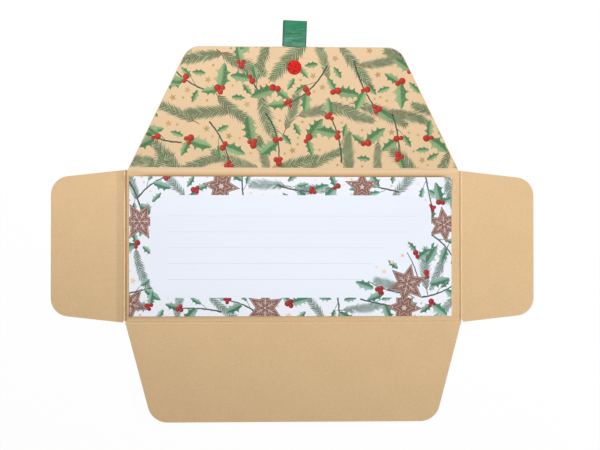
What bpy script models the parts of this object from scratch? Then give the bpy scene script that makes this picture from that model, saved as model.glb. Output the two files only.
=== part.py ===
"""Gift envelope of creased kraft board, lying open, with a printed liner, a card and a ribbon pull.

The origin is the centre of the back panel's underside. +X runs to the right flap, +Y to the top
flap and +Z up, out of the inside face. Lengths are in metres and angles in radians.
"""

import math

import bmesh
import bpy

# Board blank
BOARD = 0.00045
BODY_WIDTH = 0.219
BODY_HEIGHT = 0.0977
SEAM = 0.00005

SIDE_FLAP_LENGTH = 0.048
SIDE_FLAP_TAPER = 0.0054
SIDE_FLAP_RADIUS = 0.012
SIDE_FLAP_OVERHANG = 0.00135

BOTTOM_FLAP_LENGTH = 0.06435
BOTTOM_FLAP_TAPER = 0.0174
BOTTOM_FLAP_RADIUS = 0.013

TOP_FLAP_LENGTH = 0.08205
TOP_FLAP_INSET = 0.0007
TOP_FLAP_TAPER = 0.0399
TOP_FLAP_RADIUS = 0.0125

# Creases
CREASE_WIDTH = 0.0024
BEAD_WIDTH = 0.0012
BEAD_HEIGHT = 0.0002
GROOVE_DEPTH = 0.00012
FOLD_WIDTH = 0.006
FOLD_RISE = 0.0002

# Room between the layers of the closed envelope
CONTENTS_ROOM = 0.0021
FLAP_GAP = 0.00025
LINER_GAP = 0.00035

# Printed liner on the top flap
LINER = 0.00015
LINER_MARGIN = 0.0004
GLUE = 0.00005

# Ribbon pull
RIBBON = 0.0003
RIBBON_WIDTH = 0.015
RIBBON_SPACE = 0.00005
RIBBON_REACH = 0.0171
RIBBON_TAIL = 0.0065
RIBBON_SHIFT = 0.0006
RIBBON_TURN = math.radians(2.1)
RIBBON_BEND_GAP = 0.00045
LINER_SLOPE = 0.0012

# Hook and loop discs
DISC_RADIUS = 0.00475
HOOK_SETBACK = 0.01355
TAPE = 0.00015
HOOK_PAD = 0.0008
LOOP_PAD = 0.0008
PAD_EDGE = 0.0001

# Message card
CARD = 0.00035
CARD_SIDE_MARGIN = 0.0044
CARD_END_MARGIN = 0.0035
CARD_SHIFT_X = -0.002
CARD_SHIFT_Y = 0.0006
CARD_GAP = 0.0003
CARD_LEFT_LIFT = 0.0006
CARD_CORNER_LIFT = 0.0011

ARC_STEPS = 10
BEAD_STEPS = 8
FOLD_STEPS = 12
CARD_COLUMNS = 20
CARD_ROWS = 8
SLOPE_STEPS = 4
LEAF_STEPS = 12
DISC_SIDES = 48

# Finishes: linear colours and roughness
KRAFT = (0.70, 0.49, 0.27)
KRAFT_SIDE = (0.66, 0.46, 0.25)
KRAFT_CREASE = (0.74, 0.53, 0.30)
LINER_COLOUR = (0.80, 0.60, 0.39)
CARD_COLOUR = (0.90, 0.91, 0.93)
RIBBON_COLOUR = (0.03, 0.26, 0.12)
PAD_COLOUR = (0.75, 0.02, 0.01)
TAPE_COLOUR = (0.80, 0.78, 0.70)
KRAFT_ROUGHNESS = 0.8
PRINT_ROUGHNESS = 0.6
PAD_ROUGHNESS = 0.7
SHARP_ANGLE = math.radians(30)

COLLECTION = "gift_envelope"

# Places worked out from the sizes
CREASE_X = BODY_WIDTH / 2
BOTTOM_Y = -BODY_HEIGHT / 2
FOLD_Y = BODY_HEIGHT / 2
SIDE_TOP_Y = FOLD_Y + SIDE_FLAP_OVERHANG
FREE_EDGE_Y = FOLD_Y + TOP_FLAP_LENGTH
HALF_CREASE = CREASE_WIDTH / 2
HALF_FOLD = FOLD_WIDTH / 2

LINER_BASE_Z = BOARD + GLUE
LINER_TOP_Z = LINER_BASE_Z + LINER
RIBBON_STACK = 2 * RIBBON + RIBBON_SPACE
RIBBON_Z = LINER_BASE_Z + RIBBON_STACK / 2
RIBBON_Y = FREE_EDGE_Y + RIBBON_BEND_GAP
HOOK_REACH = TOP_FLAP_LENGTH - HOOK_SETBACK
HOOK_Y = FOLD_Y + HOOK_REACH
LOOP_REACH = BODY_HEIGHT - HOOK_REACH
LOOP_Y = BOTTOM_Y - LOOP_REACH
LOOP_STACK = GLUE + TAPE + GLUE + LOOP_PAD

SIDE_PIVOT_Z = BOARD + CONTENTS_ROOM / 2
BOTTOM_PIVOT_Z = SIDE_PIVOT_Z + (FLAP_GAP + BOARD) / 2
TOP_PIVOT_Z = BOTTOM_PIVOT_Z + (LINER_GAP + LINER_TOP_Z) / 2


def resting_tilt():
    """The bottom flap's angle when the loop disc under it stands on the table."""
    near = LOOP_REACH - DISC_RADIUS
    deep = BOTTOM_PIVOT_Z + LOOP_STACK
    return math.atan2(deep, near) - math.asin(BOTTOM_PIVOT_Z / math.hypot(near, deep))


def smooth(share):
    """An S-shaped rise from 0 to 1, flat at both ends."""
    share = min(max(share, 0.0), 1.0)
    return share * share * (3 - 2 * share)


def steps(start, end, count):
    """Evenly spaced values from start to end, both ends included."""
    return [start + (end - start) * i / count for i in range(count + 1)]


def outline(corners):
    """A closed outline through (x, y, radius) corners, each round one as an arc."""
    points = []
    for i, (x, y, radius) in enumerate(corners):
        if not radius:
            points.append((x, y))
            continue
        before, after = corners[i - 1], corners[(i + 1) % len(corners)]
        to_before = math.atan2(before[1] - y, before[0] - x)
        to_after = math.atan2(after[1] - y, after[0] - x)
        turn = math.remainder(to_after - to_before, math.tau)
        middle = to_before + turn / 2
        reach = radius / math.sin(abs(turn) / 2)
        centre_x, centre_y = x + reach * math.cos(middle), y + reach * math.sin(middle)
        start = to_before + math.copysign(math.pi / 2, -turn)
        sweep = math.copysign(math.pi - abs(turn), -turn)
        for angle in steps(start, start + sweep, ARC_STEPS):
            points.append((centre_x + radius * math.cos(angle), centre_y + radius * math.sin(angle)))
    return points


def make_material(name, colour, roughness):
    """A matt material in the piece's own colour."""
    material = bpy.data.materials.new(name)
    material.use_nodes = True
    shader = material.node_tree.nodes["Principled BSDF"]
    shader.inputs["Base Color"].default_value = (*colour, 1)
    shader.inputs["Roughness"].default_value = roughness
    shader.inputs["Metallic"].default_value = 0
    return material


def add(name, data, colour, roughness, location=(0, 0, 0), rotation=(0, 0, 0)):
    """An object of the envelope, in its place and with a material of its own."""
    piece = bpy.data.objects.new(name, data)
    piece.location = location
    piece.rotation_euler = rotation
    data.materials.append(make_material(name, colour, roughness))
    bpy.data.collections[COLLECTION].objects.link(piece)
    return piece


def flat_curve(name, points, depth):
    """A flat outline, extruded to its full depth about its own plane."""
    curve = bpy.data.curves.new(name, "CURVE")
    curve.dimensions = "2D"
    curve.fill_mode = "BOTH"
    curve.extrude = depth / 2
    spline = curve.splines.new("POLY")
    spline.points.add(len(points) - 1)
    for point, (x, y) in zip(spline.points, points):
        point.co = (x, y, 0, 1)
    spline.use_cyclic_u = True
    return curve


def board(name, corners, colour):
    """A flat area of the board blank, lying on the table."""
    curve = flat_curve(name, outline(corners), BOARD)
    return add(name, curve, colour, KRAFT_ROUGHNESS, (0, 0, BOARD / 2))


def formed_sheet(name, points, x_cuts, y_cuts, height, thickness, colour, roughness):
    """A thin sheet of this outline, whose underside follows height(x, y)."""
    shape = bmesh.new()
    shape.faces.new([shape.verts.new((x, y, 0)) for x, y in points])
    cuts = [((x, 0, 0), (1, 0, 0)) for x in x_cuts] + [((0, y, 0), (0, 1, 0)) for y in y_cuts]
    for place, normal in cuts:
        geometry = shape.verts[:] + shape.edges[:] + shape.faces[:]
        bmesh.ops.bisect_plane(shape, geom=geometry, plane_co=place, plane_no=normal)
    for vertex in shape.verts:
        vertex.co.z = height(vertex.co.x, vertex.co.y)
    bmesh.ops.recalc_face_normals(shape, faces=shape.faces)
    if sum(face.normal.z for face in shape.faces) < 0:
        bmesh.ops.reverse_faces(shape, faces=shape.faces)
    mesh = bpy.data.meshes.new(name)
    shape.to_mesh(mesh)
    shape.free()
    piece = add(name, mesh, colour, roughness)
    wall = piece.modifiers.new("thickness", "SOLIDIFY")
    wall.thickness = thickness
    wall.offset = 1
    return piece


def hinge(name, location, *pieces):
    """An empty on a joint's axis that carries the pieces of a moving body."""
    empty = bpy.data.objects.new(name, None)
    empty.location = location
    empty.empty_display_size = CREASE_WIDTH
    bpy.data.collections[COLLECTION].objects.link(empty)
    bpy.context.view_layer.update()
    for piece in pieces:
        piece.parent = empty
        piece.matrix_parent_inverse = empty.matrix_world.inverted()
    return empty


def back_panel():
    """The panel that the card lies on, inside the four creases."""
    x = CREASE_X - HALF_CREASE - SEAM
    low = BOTTOM_Y + HALF_CREASE + SEAM
    high = FOLD_Y - HALF_FOLD - SEAM
    board("back_panel", [(-x, low, 0), (x, low, 0), (x, high, 0), (-x, high, 0)], KRAFT)


def crease_profile():
    """The cross-section of a creased strip: a bead on the inside face, a groove on the outside."""
    half_bead = BEAD_WIDTH / 2
    points = [(-HALF_CREASE, 0)]
    for x in steps(-half_bead, half_bead, BEAD_STEPS):
        points.append((x, GROOVE_DEPTH * (1 + math.cos(math.tau * x / BEAD_WIDTH)) / 2))
    points += [(HALF_CREASE, 0), (HALF_CREASE, BOARD)]
    for x in steps(half_bead, -half_bead, BEAD_STEPS):
        points.append((x, BOARD + BEAD_HEIGHT * (1 + math.cos(math.tau * x / BEAD_WIDTH)) / 2))
    points.append((-HALF_CREASE, BOARD))
    return points


def creases():
    """The strips of board that bend at the sides and the bottom."""
    side_low = BOTTOM_Y + HALF_CREASE + SEAM
    side_length = SIDE_TOP_Y - side_low
    upright = (math.pi / 2, 0, 0)
    for name, x in (("left_crease", -CREASE_X), ("right_crease", CREASE_X)):
        curve = flat_curve(name, crease_profile(), side_length)
        add(name, curve, KRAFT_CREASE, KRAFT_ROUGHNESS, (x, side_low + side_length / 2, 0), upright)
    curve = flat_curve("bottom_crease", crease_profile(), BODY_WIDTH)
    across = (math.pi / 2, 0, math.pi / 2)
    add("bottom_crease", curve, KRAFT_CREASE, KRAFT_ROUGHNESS, (0, BOTTOM_Y, 0), across)


def top_half_width(y):
    """Half the top flap's width at this height, along its slanting edges."""
    root = CREASE_X - TOP_FLAP_INSET
    return root - TOP_FLAP_TAPER * (y - FOLD_Y) / TOP_FLAP_LENGTH


def top_fold():
    """The wide soft fold above the card, which rises to the level of the liner."""
    low, high = FOLD_Y - HALF_FOLD, FOLD_Y + HALF_FOLD
    x = CREASE_X - HALF_CREASE - SEAM
    shoulder = min(x, top_half_width(SIDE_TOP_Y))
    end = min(shoulder, top_half_width(high))
    right = [(x, low), (x, FOLD_Y), (shoulder, SIDE_TOP_Y), (end, high)]
    left = [(-px, py) for px, py in reversed(right)]
    cuts = steps(low, high, FOLD_STEPS)[1:-1]

    def height(_x, y):
        return FOLD_RISE * smooth((y - low) / FOLD_WIDTH)

    formed_sheet("top_fold", right + left, [], cuts, height, BOARD, KRAFT_CREASE, KRAFT_ROUGHNESS)


def side_flaps():
    """The left and right flaps, each with two drawn-in edges and two round corners."""
    root = CREASE_X + HALF_CREASE + SEAM
    tip = CREASE_X + SIDE_FLAP_LENGTH
    taper = SIDE_FLAP_TAPER / SIDE_FLAP_LENGTH
    root_in = taper * (root - CREASE_X)
    for name, side in (("left_flap", -1), ("right_flap", 1)):
        corners = [
            (side * root, BOTTOM_Y + root_in, 0),
            (side * tip, BOTTOM_Y + SIDE_FLAP_TAPER, SIDE_FLAP_RADIUS),
            (side * tip, SIDE_TOP_Y - SIDE_FLAP_TAPER, SIDE_FLAP_RADIUS),
            (side * root, SIDE_TOP_Y - root_in, 0),
        ]
        flap = board(name, corners, KRAFT_SIDE)
        hinge(name + "_hinge", (side * CREASE_X, 0, SIDE_PIVOT_Z), flap)


def disc(name, thickness, location, colour):
    """A round pad with a softened rim, standing on its lower face."""
    x, y, z = location
    bpy.ops.mesh.primitive_cylinder_add(
        vertices=DISC_SIDES,
        radius=DISC_RADIUS,
        depth=thickness,
        location=(x, y, z + thickness / 2),
    )
    pad = bpy.context.object
    pad.name = pad.data.name = name
    pad.data.materials.append(make_material(name, colour, PAD_ROUGHNESS))
    pad.data.shade_smooth()
    pad.data.set_sharp_from_angle(angle=SHARP_ANGLE)
    rim = pad.modifiers.new("rim", "BEVEL")
    rim.width = min(PAD_EDGE, thickness / 3)
    rim.segments = 2
    bpy.context.collection.objects.unlink(pad)
    bpy.data.collections[COLLECTION].objects.link(pad)
    return pad


def bottom_flap():
    """The bottom flap with the loop disc and its tape under it, tilted so that the disc stands."""
    root_y = BOTTOM_Y - HALF_CREASE - SEAM
    free_y = BOTTOM_Y - BOTTOM_FLAP_LENGTH
    root_x = CREASE_X - BOTTOM_FLAP_TAPER * (BOTTOM_Y - root_y) / BOTTOM_FLAP_LENGTH
    free_x = CREASE_X - BOTTOM_FLAP_TAPER
    corners = [
        (root_x, root_y, 0),
        (-root_x, root_y, 0),
        (-free_x, free_y, BOTTOM_FLAP_RADIUS),
        (free_x, free_y, BOTTOM_FLAP_RADIUS),
    ]
    flap = board("bottom_flap", corners, KRAFT)
    tape_z = -GLUE - TAPE
    tape = disc("loop_disc_adhesive", TAPE, (0, LOOP_Y, tape_z), TAPE_COLOUR)
    pad = disc("loop_disc", LOOP_PAD, (0, LOOP_Y, -LOOP_STACK), PAD_COLOUR)
    pivot = hinge("bottom_flap_hinge", (0, BOTTOM_Y, BOTTOM_PIVOT_Z), flap, tape, pad)
    pivot.rotation_euler.x = -resting_tilt()


def liner_lift(x, y):
    """How far the liner rises over the ribbon's tails."""
    beside = abs(x - RIBBON_SHIFT) - RIBBON_WIDTH / 2 - LINER_SLOPE / 2
    below = FREE_EDGE_Y - RIBBON_TAIL - LINER_SLOPE / 2 - y
    return (RIBBON_STACK + GLUE) * smooth(1 - max(beside, below, 0) / LINER_SLOPE)


def liner():
    """The printed paper on the inside of the top flap, raised over the ribbon's tails."""
    low, high = FOLD_Y + HALF_FOLD + SEAM, FREE_EDGE_Y - LINER_MARGIN
    slant = math.hypot(TOP_FLAP_LENGTH, TOP_FLAP_TAPER) / TOP_FLAP_LENGTH
    low_x = top_half_width(low) - LINER_MARGIN * slant
    high_x = top_half_width(high) - LINER_MARGIN * slant
    radius = TOP_FLAP_RADIUS - LINER_MARGIN
    corners = [(-low_x, low, 0), (low_x, low, 0), (high_x, high, radius), (-high_x, high, radius)]
    near, far = RIBBON_WIDTH / 2 + LINER_SLOPE / 2, RIBBON_WIDTH / 2 + LINER_SLOPE * 3 / 2
    x_cuts = [RIBBON_SHIFT + side * x for side in (-1, 1) for x in steps(near, far, SLOPE_STEPS)]
    tail_y = FREE_EDGE_Y - RIBBON_TAIL
    y_cuts = steps(tail_y - LINER_SLOPE * 3 / 2, tail_y - LINER_SLOPE / 2, SLOPE_STEPS)

    def height(x, y):
        return LINER_BASE_Z + liner_lift(x, y)

    return formed_sheet(
        "flap_liner", outline(corners), x_cuts, y_cuts, height, LINER, LINER_COLOUR, PRINT_ROUGHNESS
    )


def ribbon_profile():
    """The side view of the loop: two leaves that part towards a round bight."""
    bight = RIBBON_Z - RIBBON / 2
    centre = RIBBON_REACH - RIBBON_BEND_GAP - RIBBON_Z
    near = (RIBBON_SPACE + RIBBON) / 2
    outer, inner = [], []
    for x in steps(0, centre, LEAF_STEPS):
        middle = near + (bight - near) * smooth(x / centre)
        outer.append((x, middle + RIBBON / 2))
        inner.append((x, middle - RIBBON / 2))
    for angle in steps(math.pi / 2, -math.pi / 2, ARC_STEPS)[1:]:
        for side, path in ((1, outer), (-1, inner)):
            radius = bight + side * RIBBON / 2
            path.append((centre + radius * math.cos(angle), radius * math.sin(angle)))
    outer += [(x, -y) for x, y in reversed(outer[:LEAF_STEPS])]
    inner += [(x, -y) for x, y in reversed(inner[:LEAF_STEPS])]
    return outer + inner[::-1]


def ribbon_loop():
    """The free loop of the ribbon, which bends at the flap's edge."""
    curve = flat_curve("ribbon_loop", ribbon_profile(), RIBBON_WIDTH)
    place = (RIBBON_SHIFT, RIBBON_Y, RIBBON_Z)
    turned = (math.pi / 2, 0, math.pi / 2 - RIBBON_TURN)
    loop = add("ribbon_loop", curve, RIBBON_COLOUR, PRINT_ROUGHNESS, place, turned)
    return hinge("ribbon_hinge", place, loop)


def ribbon_tails():
    """The ribbon's two ends, glued together between the board and the liner."""
    x, low = RIBBON_WIDTH / 2, FREE_EDGE_Y - RIBBON_TAIL
    corners = [(-x, low), (x, low), (x, FREE_EDGE_Y), (-x, FREE_EDGE_Y)]
    curve = flat_curve("ribbon_tails", corners, RIBBON_STACK)
    place = (RIBBON_SHIFT, 0, RIBBON_Z)
    return add("ribbon_tails", curve, RIBBON_COLOUR, PRINT_ROUGHNESS, place)


def top_flap():
    """The closing flap with its liner, ribbon and hook disc."""
    root_y = FOLD_Y + HALF_FOLD + SEAM
    root_x, free_x = top_half_width(root_y), top_half_width(FREE_EDGE_Y)
    corners = [
        (-root_x, root_y, 0),
        (root_x, root_y, 0),
        (free_x, FREE_EDGE_Y, TOP_FLAP_RADIUS),
        (-free_x, FREE_EDGE_Y, TOP_FLAP_RADIUS),
    ]
    tape_z = LINER_TOP_Z + GLUE
    pad_z = tape_z + TAPE + GLUE
    pieces = [
        board("top_flap", corners, KRAFT),
        liner(),
        ribbon_tails(),
        ribbon_loop(),
        disc("hook_disc_adhesive", TAPE, (0, HOOK_Y, tape_z), TAPE_COLOUR),
        disc("hook_disc", HOOK_PAD, (0, HOOK_Y, pad_z), PAD_COLOUR),
    ]
    hinge("top_flap_hinge", (0, FOLD_Y, TOP_PIVOT_Z), *pieces)


def message_card():
    """The loose card, curled up a little at its left edge and its top right corner."""
    left, right = -CREASE_X + CARD_SIDE_MARGIN, CREASE_X - CARD_SIDE_MARGIN
    low, high = BOTTOM_Y + CARD_END_MARGIN, FOLD_Y - CARD_END_MARGIN
    x0, x1 = left + CARD_SHIFT_X, right + CARD_SHIFT_X
    y0, y1 = low + CARD_SHIFT_Y, high + CARD_SHIFT_Y
    x_cuts = steps(x0, x1, CARD_COLUMNS)[1:-1]
    y_cuts = steps(y0, y1, CARD_ROWS)[1:-1]

    def height(x, y):
        across, up = (x - x0) / (x1 - x0), (y - y0) / (y1 - y0)
        left_curl = CARD_LEFT_LIFT * max(1 - 2 * across, 0) ** 2
        corner_curl = CARD_CORNER_LIFT * (max(2 * across - 1, 0) * up) ** 2
        return BOARD + CARD_GAP + left_curl + corner_curl

    corners = [(x0, y0), (x1, y0), (x1, y1), (x0, y1)]
    card = formed_sheet(
        "message_card", corners, x_cuts, y_cuts, height, CARD, CARD_COLOUR, PRINT_ROUGHNESS
    )
    hinge("card_slide", ((x0 + x1) / 2, (y0 + y1) / 2, BOARD + CARD_GAP), card)


def main():
    for thing in list(bpy.data.objects):
        bpy.data.objects.remove(thing)
    collection = bpy.data.collections.new(COLLECTION)
    bpy.context.scene.collection.children.link(collection)
    back_panel()
    creases()
    top_fold()
    side_flaps()
    bottom_flap()
    top_flap()
    message_card()


main()
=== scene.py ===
"""Gift envelope of creased kraft board, open, with its printed liner, message card and ribbon pull.

The origin is the centre of the back panel's underside. +X runs to the right flap, +Y to the top flap
and +Z up, out of the inside face. Lengths are in metres, and in millimetres where a print is laid out.
"""

import random
from collections import namedtuple
from math import asin, atan2, copysign, cos, dist, exp, hypot, pi, radians, remainder, sin, tau

import bpy
import numpy as np
from mathutils import Matrix, Vector
from mathutils.geometry import delaunay_2d_cdt


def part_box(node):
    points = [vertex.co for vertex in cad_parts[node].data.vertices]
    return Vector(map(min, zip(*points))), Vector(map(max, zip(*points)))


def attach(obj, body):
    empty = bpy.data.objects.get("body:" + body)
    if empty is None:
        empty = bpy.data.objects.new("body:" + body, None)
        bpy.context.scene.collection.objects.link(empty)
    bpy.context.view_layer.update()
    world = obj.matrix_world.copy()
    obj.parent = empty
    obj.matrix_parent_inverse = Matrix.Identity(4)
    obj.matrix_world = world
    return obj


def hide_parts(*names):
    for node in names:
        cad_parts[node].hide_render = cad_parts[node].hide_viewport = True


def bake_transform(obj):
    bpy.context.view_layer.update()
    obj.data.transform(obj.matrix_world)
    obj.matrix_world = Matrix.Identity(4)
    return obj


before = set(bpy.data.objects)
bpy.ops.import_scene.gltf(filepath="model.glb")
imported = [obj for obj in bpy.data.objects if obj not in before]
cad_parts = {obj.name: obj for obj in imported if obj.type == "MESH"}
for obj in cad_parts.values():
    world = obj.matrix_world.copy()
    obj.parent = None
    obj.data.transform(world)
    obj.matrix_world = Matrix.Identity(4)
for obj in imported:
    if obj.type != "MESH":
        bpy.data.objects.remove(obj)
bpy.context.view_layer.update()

bl_info = {
    "name": "Gift Envelope",
    "version": (1, 0, 0),
    "blender": (4, 5, 0),
    "location": "View3D > Sidebar > Gift Envelope",
    "description": "Dresses the packed gift envelope: board, creases, printed liner, card, ribbon and discs",
    "category": "Object",
}

MM = 0.001

# Places that the packed model fixes
BOARD = 0.00045
CREASE_X = 0.1095
BOTTOM_Y = -0.04885
FOLD_Y = 0.04885
SIDE_TOP_Y = 0.0502
FREE_EDGE_Y = 0.1309
TOP_INSET = 0.0007
TOP_TAPER = 0.0399
TOP_LENGTH = FREE_EDGE_Y - FOLD_Y
TOP_RADIUS = 0.0125
SEAM = 0.00005
LINER_TOP = 0.00065
RIBBON_Z = 0.000825
RIBBON_TAIL = 0.0065
RIBBON_ROOT = 0.00045
RIBBON_TURN = radians(2.1)
PULL_BEND = (0.00005, 0.00095)
BOTTOM_PIVOT_Z = 0.00185
LOOP_REACH = 0.0292
LOOP_STACK = 0.00105
DISC_Y = 0.11735
DISC_RADIUS = 0.00475
CARD_LOW_Y = -0.04475

# Tints painted into the kraft: pressed places go browner, as wear and painted shade; raised ones paler and
# greyer, as wear and painted highlight
PRESSED_AND_SHADE_TINT = (0.66, 0.56, 0.50)
BEAD_WEAR_AND_HIGHLIGHT_TINT = (1.18, 1.24, 1.40)
# The soft fold's crest: a painted highlight, paler and greyer
FOLD_CREST_HIGHLIGHT_TINT = (1.06, 1.105, 1.26)

# How firmly a crease was folded, where its groove and its bead lie across it and how wide they are,
# and how strongly the groove is browned (wear and painted shade) and the bead paled (wear and painted
# highlight)
Crease = namedtuple("Crease", "firm groove groove_width bead bead_width brown pale")
CREASES = {
    "left": Crease(2.8, 0.40, 0.17, 0.86, 0.09, 0.98, 0.80),
    "right": Crease(1.8, 0.15, 0.10, 0.52, 0.13, 0.45, 0.85),
    "bottom": Crease(1.8, 0.33, 0.13, 0.68, 0.15, 0.07, 0.70),
}


def number(description, default, **limits):
    return bpy.props.FloatProperty(description=description, default=default, **limits)


def size(description, default):
    return number(description, default, min=0, precision=5, unit="LENGTH")


def share(description, default, top=1.0):
    return number(description, default, min=0, max=top)


def angle(description, degrees):
    return number(description, radians(degrees), unit="ROTATION")


def tint(description, default):
    return bpy.props.FloatVectorProperty(
        description=description, default=default, min=0, max=1, size=3, subtype="COLOR"
    )


def seed(default):
    return bpy.props.IntProperty(description="Layout of the print", default=default, min=1)


def labelled(group):
    """Gives each setting its name in the panel: its own name in words."""
    for key, setting in group.__annotations__.items():
        setting.keywords["name"] = key.replace("_", " ").capitalize()
    return group


@labelled
class BoardSettings(bpy.types.PropertyGroup):
    """The board blank and its creases."""

    kraft: tint("Colour of the board", (0.735, 0.512, 0.285))
    crease_width: size("Width of the strip that bends", 0.0024)
    bead_height: size("Rise of the bead on the flap's side of a crease", 0.0001)
    groove_depth: size("Depth of the pressed line on the panel's side of a crease", 0.00015)
    fold_width: size("Width of the soft fold above the card", 0.006)
    fold_rise: size("Rise of the soft fold to the liner's level", 0.0002)
    fold_bulge: size("How far the soft fold stands up beside the card", 0.0009)
    fold_crest: size("From the card's side of the fold to its crest", 0.0042)
    fold_spread: size("How much further off the crest is near the right end", 0.0006)
    # Painted shadow on the panel right below the card's lower edge
    dished: share("How much darker the panel is right below the card", 0.20)
    # Painted shade on the left flap's inner face along its crease
    bruised: share("How much darker the left flap is along its crease", 0.12)
    # Painted shade browning the root of the soft fold beside the card
    rubbed: share("How far the root of the soft fold is browned", 0.85)


@labelled
class LinerSettings(bpy.types.PropertyGroup):
    """The printed paper inside the top flap."""

    thickness: size("Thickness of the paper", 0.00015)
    margin: size("Board left bare round the liner", 0.0004)
    paper: tint("Ground of the print", (0.723, 0.519, 0.317))
    leaf_dark: tint("Dark half of a holly leaf", (0.064, 0.178, 0.070))
    leaf_pale: tint("Pale half of a holly leaf", (0.245, 0.375, 0.180))
    needle_dark: tint("Darkest fir needles", (0.028, 0.090, 0.042))
    needle_pale: tint("Palest fir needles", (0.250, 0.335, 0.185))
    berry: tint("Berries", (0.470, 0.026, 0.016))
    stem: tint("Twigs and stalks", (0.045, 0.085, 0.055))
    stub: tint("Bare ends of the fir sprigs", (0.400, 0.110, 0.060))
    star: tint("Small stars and dots", (0.500, 0.330, 0.140))
    seed: seed(12)


@labelled
class CardSettings(bpy.types.PropertyGroup):
    """The loose message card."""

    thickness: size("Thickness of the card", 0.00035)
    gap: size("Space between the card and the panel", 0.00006)
    left_lift: size("Curl of the left edge", 0.00005)
    top_lift: size("Curl of the top edge", 0.0009)
    corner_lift: size("Further curl of the top right corner", 0.0006)
    panel_radius: size("Corner radius of the writing panel", 0.012)
    rule_width: size("Width of a writing rule", 0.0004)
    # Painted light that makes the card paler towards its lower edge
    low_lift: share("How much paler the card is towards its lower edge", 0.08)
    paper: tint("Ground of the print", (0.838, 0.861, 0.926))
    panel: tint("The writing panel, a colder white", (0.812, 0.855, 0.945))
    leaf_dark: tint("Dark half of a holly leaf", (0.050, 0.175, 0.105))
    leaf_pale: tint("Pale half of a holly leaf", (0.270, 0.450, 0.350))
    needle_dark: tint("Darkest fir needles", (0.050, 0.125, 0.100))
    needle_pale: tint("Palest fir needles", (0.420, 0.540, 0.500))
    berry: tint("Berries", (0.400, 0.022, 0.026))
    stem: tint("Twigs and stalks", (0.070, 0.105, 0.095))
    stub: tint("Bare ends of the fir sprigs", (0.300, 0.150, 0.110))
    star: tint("Small stars and dots", (0.840, 0.660, 0.460))
    biscuit: tint("Spiced biscuits", (0.200, 0.092, 0.068))
    icing: tint("Icing of the biscuits", (0.620, 0.540, 0.520))
    rule: tint("Writing rules", (0.735, 0.770, 0.850))
    seed: seed(5)


@labelled
class RibbonSettings(bpy.types.PropertyGroup):
    """The ribbon pull."""

    width: size("Width of the ribbon", 0.015)
    thickness: size("Thickness of the ribbon", 0.0003)
    space: size("Space between the two leaves at the flap", 0.00005)
    reach: size("How far the loop stands out of the flap", 0.0171)
    shift: size("How far the ribbon is off the middle, to the right", 0.0006)
    peep: size("How far the lower leaf shows beside the upper one, on the left", 0.0006)
    rib: size("Spacing of the cross ribs", 0.00095)
    rib_height: size("Height of the cross ribs", 0.00005)
    colour: tint("Colour of the ribbon", (0.032, 0.215, 0.115))


@labelled
class DiscSettings(bpy.types.PropertyGroup):
    """The hook disc and the loop disc."""

    radius: size("Radius of a disc", DISC_RADIUS)
    pad: size("Thickness of a disc with its hooks or loops", 0.0008)
    backing: size("Thickness of the woven backing alone", 0.00035)
    pitch: size("Spacing of the hooks and loops", 0.00058)
    colour: tint("Colour of the discs", (0.560, 0.010, 0.006))
    tape: tint("Colour of the adhesive backing", (0.800, 0.780, 0.700))


@labelled
class StageSettings(bpy.types.PropertyGroup):
    """Floor, lights and camera."""

    floor: tint("Colour of the floor", (0.97, 0.97, 0.97))
    fill: share("Light from all round", 0.16, 5.0)
    soft: share("Power of the large soft light above the envelope", 2.39, 500.0)
    key: share("Power of the low light on the right", 3.7, 500.0)
    key_height: size("The low light's height above the table", 0.225)
    key_reach: size("How far the low light stands to the right", 0.70)
    key_near: size("How far the low light stands towards the bottom flap", 0.1086)
    camera_distance: size("From the camera to the table", 1.2)
    camera_tilt: angle("The camera's lean towards the bottom flap", 1.0)
    camera_side: angle("The camera's lean towards the left flap", 3.8)


SETTINGS = {
    "envelope_board": BoardSettings,
    "envelope_liner": LinerSettings,
    "envelope_card": CardSettings,
    "envelope_ribbon": RibbonSettings,
    "envelope_discs": DiscSettings,
    "envelope_stage": StageSettings,
}


# Shader maths and finishes


class Value:
    """A node's socket that adds, subtracts, multiplies and divides as a number does."""

    def __init__(self, tree, socket):
        self.tree = tree
        self.socket = socket

    def wave(self):
        """A smooth wave from 0 to 1 that repeats at whole numbers."""
        return self.tree.maths("SINE", self * tau) * 0.5 + 0.5

    def between(self, low, high):
        """A smooth step from 0 at low to 1 at high."""
        sockets = {"Value": self, "From Min": low, "From Max": high}
        return self.tree.value("MapRange", sockets, "Result", interpolation_type="SMOOTHSTEP")


def sign(operation, swapped=False):
    """The method by which a value takes part in one kind of sum."""

    def method(value, *others):
        terms = (*others, value) if swapped else (value, *others)
        return value.tree.maths(operation, *terms)

    return method


SIGNS = {"add": "ADD", "sub": "SUBTRACT", "mul": "MULTIPLY", "truediv": "DIVIDE", "pow": "POWER"}
for word, operation in SIGNS.items():
    setattr(Value, f"__{word}__", sign(operation))
    setattr(Value, f"__r{word}__", sign(operation, swapped=True))
Value.__abs__ = sign("ABSOLUTE")


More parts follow.
